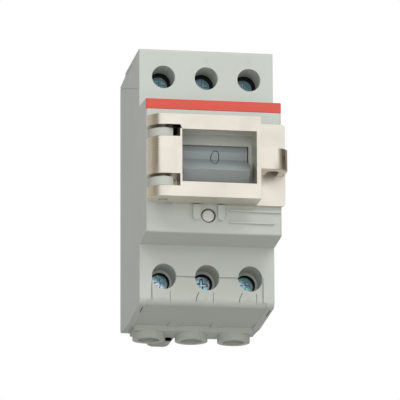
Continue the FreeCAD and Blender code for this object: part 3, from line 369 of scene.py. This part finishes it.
# A node's form with its edges broken, as moulded and cast edges are. It stands for the node.
def roundedCopy(node, width, material, segments=2):
    leastAngle = creaseRule["leastOnToggle" if node == "toggle" else "least"]
    form = bmesh.new()
    form.from_mesh(nodes[node].data)
    bmesh.ops.remove_doubles(form, verts=form.verts, dist=creaseRule["weld"] * mm)
    bmesh.ops.dissolve_limit(form, angle_limit=math.radians(creaseRule["flat"]),
                             verts=form.verts, edges=form.edges)
    if node in trims:
        trims[node](node, form)
    creases = creasesOf(form, leastAngle)
    bmesh.ops.bevel(form, geom=creases, offset=width * mm, offset_type="OFFSET", segments=segments,
                    profile=0.5, affect="EDGES", clamp_overlap=True, material=-1)
    mesh = bpy.data.meshes.new(node + "-dressed")
    form.to_mesh(mesh)
    form.free()
    mesh.materials.append(material)
    mesh.polygons.foreach_set("use_smooth", [True] * len(mesh.polygons))
    mesh.set_sharp_from_angle(angle=math.radians(leastAngle + creaseRule["sharpBeyond"]))
    piece = bpy.data.objects.new(node + "-dressed", mesh)
    bpy.context.scene.collection.objects.link(piece)
    weighted = piece.modifiers.new("even shading", "WEIGHTED_NORMAL")
    weighted.keep_sharp = True
    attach(piece, bodyOf[node])
    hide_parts(node)


# Edge rounding in millimetres
dressedNodes = {
    "front_housing": (0.22, casePlastic),
    "base_housing": (0.22, casePlastic),
    "terminal_cover": (0.18, coverPlastic),
    "top_cover": (0.18, casePlastic),
    "colour_strip": (0.2, stripPlastic),
    "lock_plate": (0.25, nickelPlate),
    "lock_flap": (0.35, nickelPlate),
    "toggle": (0.3, togglePlastic),
    "rail_latch": (0.25, latchPlastic),
}
# The same for the screws, with the number of facets across the rounding
screwHeads = {"clamp": (0.3, 3), "seal": (1.45, 6)}
clampScrews = [node for node in nodes if node.startswith("terminal_screw")]
for node, (width, material) in dressedNodes.items():
    roundedCopy(node, width, material)
for node in clampScrews:
    roundedCopy(node, screwHeads["clamp"][0], blueZinc, screwHeads["clamp"][1])
roundedCopy("seal_screw", screwHeads["seal"][0], tumbledSteel, screwHeads["seal"][1])
print("edges broken on", len(dressedNodes) + len(clampScrews) + 1, "nodes")


# Painted shade: the grey case behind the end of each screw well, round the clamp screw, is painted
# black with the resin
wellShade = {"front": -34.06, "rear": -30.3, "reach": 4.78}


def paintWellShade():
    mesh = bpy.data.objects["front_housing-dressed"].data
    # The black resin goes into a second slot, as painted shade for the well ends
    mesh.materials.append(blackResinAndWellShade)
    axes = [sum((Vector(corner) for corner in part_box(node)), Vector()) / 2 for node in clampScrews]
    for face in mesh.polygons:
        x, y, z = face.center
        around = any(math.hypot(x - axis.x, z - axis.z) < wellShade["reach"] * mm for axis in axes)
        # Case faces round a screw axis, at the deep end of its well, take the painted shade
        if around and wellShade["front"] * mm < y < wellShade["rear"] * mm:
            face.material_index = 1


paintWellShade()

# The fixed hinge eyes are lacquered light grey, where the frame that turns on them is bare plating
hingeEye = {"front": -60.25, "right": -13.0}


def lacquerEyes():
    mesh = bpy.data.objects["lock_plate-dressed"].data
    mesh.materials.append(eyeLacquer)
    for face in mesh.polygons:
        if face.center.y < hingeEye["front"] * mm and face.center.x < hingeEye["right"] * mm:
            face.material_index = 1


lacquerEyes()


# The points in what a bmesh operator returns
def vertsOf(geometry):
    return [part for part in geometry if isinstance(part, bmesh.types.BMVert)]


# Faces of a flat ring all look to the front before it gets its thickness
def faceForward(form):
    bmesh.ops.recalc_face_normals(form, faces=form.faces)
    if sum(face.normal.y for face in form.faces) > 0:
        bmesh.ops.reverse_faces(form, faces=form.faces)


# Sorts points or faces by their place, because the operators return them in an order that changes
# from run to run. The place is rounded, because its last digit changes too.
def sortByPlace(parts, placeOf):
    ranked = sorted(parts, key=lambda part: [round(number, 7) for number in placeOf(part)])
    for rank, part in enumerate(ranked):
        part.index = rank
    parts.sort()


def finishForm(name, form, material, body):
    sortByPlace(form.verts, lambda vert: vert.co)
    sortByPlace(form.faces, lambda face: face.calc_center_median())
    mesh = bpy.data.meshes.new(name)
    form.to_mesh(mesh)
    form.free()
    mesh.materials.append(material)
    piece = bpy.data.objects.new(name, mesh)
    bpy.context.scene.collection.objects.link(piece)
    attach(piece, body)
    return piece


# The zero that shows when the toggle is off: a thin printed ring over the fold of the grip
zeroMark = {
    "middleX": 0.28,
    "middleZ": 2.95,
    "lean": 0.088,
    "width": 3.0,
    "height": 5.1,
    "line": 0.34,
    "thick": 0.04,
    "lift": 0.01,
    "ahead": -90.0,
    "facets": 72,
}


# A circle 1 mm across is stretched to the zero's size and leant, and its points are then laid on the
# grip from the front
def makeZeroMark():
    base = bmesh.new()
    base.from_mesh(bpy.data.objects["toggle-dressed"].data)
    grip = BVHTree.FromBMesh(base)
    form = bmesh.new()
    bmesh.ops.create_circle(form, cap_ends=False, segments=zeroMark["facets"], radius=0.5 * mm,
                            matrix=Matrix.Rotation(math.radians(90), 4, "X"))
    bmesh.ops.scale(form, vec=(zeroMark["width"], 1, zeroMark["height"]), verts=form.verts)
    inner = bmesh.ops.extrude_edge_only(form, edges=form.edges)["geom"]
    narrow = 1 - 2 * zeroMark["line"] / zeroMark["width"]
    low = 1 - 2 * zeroMark["line"] / zeroMark["height"]
    bmesh.ops.scale(form, vec=(narrow, 1, low), verts=vertsOf(inner))
    for vert in form.verts:
        start = Vector((vert.co.x + zeroMark["lean"] * vert.co.z + zeroMark["middleX"] * mm,
                        zeroMark["ahead"] * mm, vert.co.z + zeroMark["middleZ"] * mm))
        vert.co = grip.ray_cast(start, Vector((0, 1, 0)))[0] - Vector((0, zeroMark["lift"] * mm, 0))
    faceForward(form)
    bmesh.ops.solidify(form, geom=form.faces[:], thickness=zeroMark["thick"] * mm)
    base.free()
    finishForm("zero_mark", form, markInk, "toggle")


makeZeroMark()

# The tab ends in a closed wall round the slot of the ear, with one large rounding
tabEnd = {
    "low": -2.76,
    "high": 4.31,
    "round": 4.06,
    "middle": (18.35, -65.5),
    "rear": -60.2,
    "reach": 0.75,
    "sunk": 0.15,
    "edge": 0.2,
    "steps": 14,
    "crease": 60,
    "smooth": 40,
}


def makeTabEnd():
    form = bmesh.new()
    centre = Vector((*tabEnd["middle"], 0)) * mm
    outer, inner = tabEnd["round"], tabEnd["round"] - tabEnd["sunk"]
    for radius, stretch in ((outer, tabEnd["reach"] / outer), (inner, 0)):
        before = set(form.verts)
        front = bmesh.ops.create_vert(form, co=centre + Vector((0, -radius, 0)) * mm)["vert"]
        arc = bmesh.ops.spin(form, geom=front, cent=centre, axis=(0, 0, 1), angle=math.radians(90),
                             steps=tabEnd["steps"])
        tail = bmesh.ops.extrude_vert_indiv(form, verts=vertsOf(arc["geom_last"]))["verts"]
        tail[0].co.y = tabEnd["rear"] * mm
        wall = [v for v in form.verts if v not in before]
        for vert in wall:
            vert.co.x += (vert.co.x - centre.x) * stretch
            vert.co.z = tabEnd["low"] * mm
    bmesh.ops.bridge_loops(form, edges=form.edges[:])
    outline = bmesh.ops.extrude_face_region(form, geom=form.faces[:])["geom"]
    height = (tabEnd["high"] - tabEnd["low"]) * mm
    bmesh.ops.translate(form, vec=(0, 0, height), verts=vertsOf(outline))
    bmesh.ops.recalc_face_normals(form, faces=form.faces)
    creases = creasesOf(form, tabEnd["crease"])
    bmesh.ops.bevel(form, geom=creases, offset=tabEnd["edge"] * mm, offset_type="OFFSET", segments=2,
                    profile=0.5, affect="EDGES", clamp_overlap=True, material=-1)
    piece = finishForm("tab_end", form, nickelPlate, "frame")
    piece.data.polygons.foreach_set("use_smooth", [True] * len(piece.data.polygons))
    piece.data.set_sharp_from_angle(angle=math.radians(tabEnd["smooth"]))


makeTabEnd()

# A rim closes in the end of each lower screw well
wellRim = {
    "outer": 4.4,
    "inner": 3.35,
    "front": -34.25,
    "thick": 0.3,
    "drop": 0.12,
    "facets": 64,
}


def makeWellRims():
    form = bmesh.new()
    for pole in coverTrim["poles"]:
        place = Vector((pole, wellRim["front"], coverTrim["wellRow"] - wellRim["drop"])) * mm
        upright = Matrix.Translation(place) @ Matrix.Rotation(math.radians(90), 4, "X")
        ring = bmesh.ops.create_circle(form, cap_ends=False, segments=wellRim["facets"],
                                       radius=wellRim["outer"] * mm, matrix=upright)
        edges = list(dict.fromkeys(edge for vert in ring["verts"] for edge in vert.link_edges))
        inner = vertsOf(bmesh.ops.extrude_edge_only(form, edges=edges)["geom"])
        share = wellRim["inner"] / wellRim["outer"]
        bmesh.ops.scale(form, vec=(share, 1, share), verts=inner, space=Matrix.Translation(-place))
    faceForward(form)
    bmesh.ops.solidify(form, geom=form.faces[:], thickness=wellRim["thick"] * mm)
    finishForm("well_rims", form, casePlastic, "housing")


makeWellRims()

# Terminal numbers, moulded proud on the case and on the lower cover's tongues
terminalNumbers = {
    "size": 2.7,
    "proud": 0.09,
    "sunk": 0.05,
    "front": -44.0,
    "weld": 0.001,
    "upper": {"1": (-14.4, 39.9), "3": (0.0, 39.9), "5": (14.4, 39.9)},
    "lower": {"2": (-14.9, -40.7), "4": (-0.5, -40.7), "6": (13.9, -40.7)},
}


def makeNumbers(name, places, material):
    proud, sunk = terminalNumbers["proud"], terminalNumbers["sunk"]
    depth = (terminalNumbers["front"] + (sunk - proud) / 2) * mm
    form = bmesh.new()
    for word, (x, z) in places.items():
        letters = bpy.data.curves.new("number " + word, "FONT")
        letters.body = word
        letters.size = terminalNumbers["size"] * mm
        letters.extrude = (proud + sunk) * mm / 2
        letters.align_x = "CENTER"
        letters.align_y = "CENTER"
        flat = bpy.data.objects.new("flat number", letters)
        mesh = bpy.data.meshes.new_from_object(flat)
        place = Matrix.Translation((x * mm, depth, z * mm))
        mesh.transform(place @ Matrix.Rotation(math.radians(90), 4, "X"))
        form.from_mesh(mesh)
        bpy.data.objects.remove(flat)
        bpy.data.meshes.remove(mesh)
    bmesh.ops.remove_doubles(form, verts=form.verts, dist=terminalNumbers["weld"] * mm)
    finishForm(name, form, material, "housing")


makeNumbers("upper_numbers", terminalNumbers["upper"], casePlastic)
makeNumbers("lower_numbers", terminalNumbers["lower"], coverPlastic)
print("paintedWellShade, zero and numbers made")

# Inner pieces keep their own form and get their metal or resin
plainNodes = {
    "hinge_pin": plainSteel,
    "plate_screws": blueZinc,
    "toggle_axle": plainSteel,
    "drive_pin": plainSteel,
    "contact_carrier": blackResinAndWellShade,
    "latch_spring": springSteel,
    "line_contact": bareCopper,
    "load_contact": bareCopper,
    "bridge": bareCopper,
    "contact_spring": springSteel,
    "arc_plates": arcSteel,
    "cage": arcSteel,
}
for node, thing in nodes.items():
    for stem, material in plainNodes.items():
        if node.startswith(stem):
            thing.data.materials.clear()
            thing.data.materials.append(material)
print("inner pieces finished")

# The camera stands low on the left, as the photographer did
photographer = {
    "place": Vector((-0.240724, -1.493679, -0.366481)),
    "azimuth": 9.34,
    "elevation": 13.72,
    "roll": -0.25,
    "lens": 411.7,
    "sensor": 36.0,
    "near": 0.05,
    "far": 20.0,
}


def makeCamera():
    data = bpy.data.cameras.new("camera")
    data.lens = photographer["lens"]
    data.sensor_width = photographer["sensor"]
    data.sensor_fit = "HORIZONTAL"
    data.clip_start = photographer["near"]
    data.clip_end = photographer["far"]
    camera = bpy.data.objects.new("camera", data)
    turn = (Matrix.Rotation(math.radians(-photographer["azimuth"]), 4, "Z")
            @ Matrix.Rotation(math.radians(90 + photographer["elevation"]), 4, "X")
            @ Matrix.Rotation(math.radians(photographer["roll"]), 4, "Z"))
    camera.matrix_world = Matrix.Translation(photographer["place"]) @ turn
    bpy.context.scene.collection.objects.link(camera)
    bpy.context.scene.camera = camera


# Soft light from the front on both sides and from above on the right, a weaker one low on the right
# and a small one above on the left. The floor lies far below the rail. Toned boards stand around the
# part and show only in its metal.
studio = {
    "floorDepth": -0.62,
    "floorSize": 6.0,
    "floorFacets": 96,
    "paperLight": "#ECECEA",
    "paperDark": "#E6E6E4",
    "paperFleck": 1 / 90,
    "feltPatch": 1 / 30,
    "sky": 0.285,
    "keyPower": 3.4,
    "keySize": 0.9,
    "keyPlace": Vector((0.62, -1.2, 0.5)),
    "fillPower": 6.3,
    "fillSize": 1.2,
    "fillPlace": Vector((-0.35, -1.4, -0.1)),
    "highPower": 5.0,
    "highSize": 0.7,
    "highPlace": Vector((0.45, -0.95, 0.95)),
    "lowPower": 1.1,
    "lowSize": 0.8,
    "lowPlace": Vector((0.5, -1.2, -0.5)),
    "topPower": 0.9,
    "topSize": 0.25,
    "topPlace": Vector((-0.36, -0.34, 0.42)),
    "boardReach": 1.2,
    "boardLow": -0.5,
    "boardHigh": 0.9,
    "boardSteps": 8,
    "boards": {                        # from and to in degrees from the front, left is negative
        "left near board": (-57, -38, "#9C917E", "#8F8473"),
        "left side board": (-90, -57, "#D3C7B0", "#C7BBA5"),
        "left rear board": (-160, -90, "#FBF7EC", "#F2EEE3"),
        "right near board": (38, 58, "#B9B0A1", "#AFA697"),
        "right side board": (58, 100, "#5A5246", "#50483D"),
        "right rear board": (100, 150, "#C8BFB0", "#BDB4A4"),
    },
}


def makeLamp(name, place, size, power):
    data = bpy.data.lights.new(name, "AREA")
    data.size = size
    data.energy = power
    lamp = bpy.data.objects.new(name, data)
    aim = (-place).to_track_quat("-Z", "Y").to_matrix().to_4x4()
    lamp.matrix_world = Matrix.Translation(place) @ aim
    lamp.visible_glossy = False
    bpy.context.scene.collection.objects.link(lamp)


# Wool felt on the boards: matt, with its nap lying in patches
def makeFelt(name, light, dark):
    felt, tree = newMaterial(name)
    pile = addNode(tree, "ShaderNodeTexCoord")
    nap = addNode(tree, "ShaderNodeTexNoise", {"Scale": 1 / studio["feltPatch"], "Detail": 2.0},
                  {"Vector": pile.outputs["Object"]})
    shade = addNode(tree, "ShaderNodeMix", {"data_type": "RGBA", 6: colour(light), 7: colour(dark)},
                    {0: nap.outputs["Fac"]})
    finishMaterial(tree, {"Roughness": 0.95}, {"Base Color": shade.outputs[2]})
    return felt


def makeBoard(name, start, end, material):
    form = bmesh.new()
    foot = bmesh.ops.create_vert(form, co=(0, -studio["boardReach"], studio["boardLow"]))["vert"]
    turn = Matrix.Rotation(math.radians(start), 3, "Z")
    bmesh.ops.rotate(form, cent=(0, 0, 0), matrix=turn, verts=foot)
    bmesh.ops.spin(form, geom=foot, cent=(0, 0, 0), axis=(0, 0, 1), angle=math.radians(end - start),
                   steps=studio["boardSteps"])
    raised = bmesh.ops.extrude_edge_only(form, edges=form.edges[:])["geom"]
    height = studio["boardHigh"] - studio["boardLow"]
    bmesh.ops.translate(form, vec=(0, 0, height), verts=vertsOf(raised))
    mesh = bpy.data.meshes.new(name)
    form.to_mesh(mesh)
    form.free()
    mesh.materials.append(material)
    board = bpy.data.objects.new(name, mesh)
    board.visible_camera = board.visible_diffuse = False
    board.visible_shadow = board.visible_transmission = False
    bpy.context.scene.collection.objects.link(board)


# Soft light from all round. Seen directly, mirrored or through glass the sky is plain white.
def makeSky():
    world = bpy.data.worlds.new("studio")
    world.use_nodes = True
    tree = world.node_tree
    tree.nodes.clear()
    path = addNode(tree, "ShaderNodeLightPath")
    seen = addNode(tree, "ShaderNodeMath", {"operation": "MAXIMUM"},
                   {0: path.outputs["Is Camera Ray"], 1: path.outputs["Is Glossy Ray"]})
    shown = addNode(tree, "ShaderNodeMath", {"operation": "MAXIMUM"},
                    {0: seen.outputs[0], 1: path.outputs["Is Transmission Ray"]})
    strength = addNode(tree, "ShaderNodeMapRange", {"To Min": studio["sky"], "To Max": 1.0},
                       {"Value": shown.outputs[0]})
    back = addNode(tree, "ShaderNodeBackground", {"Color": (1, 1, 1, 1)},
                   {"Strength": strength.outputs["Result"]})
    addNode(tree, "ShaderNodeOutputWorld", links={"Surface": back.outputs[0]})
    bpy.context.scene.world = world


# Matt drawing paper, with faint flecks
def makePaper(name):
    paper, tree = newMaterial(name)
    place = addNode(tree, "ShaderNodeTexCoord")
    fleck = addNode(tree, "ShaderNodeTexNoise", {"Scale": 1 / studio["paperFleck"], "Detail": 3.0},
                    {"Vector": place.outputs["Object"]})
    tone = addNode(tree, "ShaderNodeMix",
                   {"data_type": "RGBA",
                    6: colour(studio["paperLight"]), 7: colour(studio["paperDark"])},
                   {0: fleck.outputs["Fac"]})
    finishMaterial(tree, {"Roughness": 0.9}, {"Base Color": tone.outputs[2]})
    return paper


def makeFloor():
    form = bmesh.new()
    bmesh.ops.create_circle(form, cap_ends=True, segments=studio["floorFacets"],
                            radius=studio["floorSize"] / 2,
                            matrix=Matrix.Translation((0, 0, studio["floorDepth"])))
    mesh = bpy.data.meshes.new("floor")
    form.to_mesh(mesh)
    form.free()
    mesh.materials.append(makePaper("pale paper"))
    floor = bpy.data.objects.new("floor", mesh)
    bpy.context.scene.collection.objects.link(floor)


makeCamera()
for lamp in ("key", "fill", "high", "low", "top"):
    makeLamp(lamp + " lamp", studio[lamp + "Place"], studio[lamp + "Size"], studio[lamp + "Power"])
for name, (start, end, light, dark) in studio["boards"].items():
    makeBoard(name, start, end, makeFelt(name + " felt", light, dark))
makeSky()
makeFloor()
bpy.context.scene.view_settings.view_transform = "Standard"
print("camera and studio set")
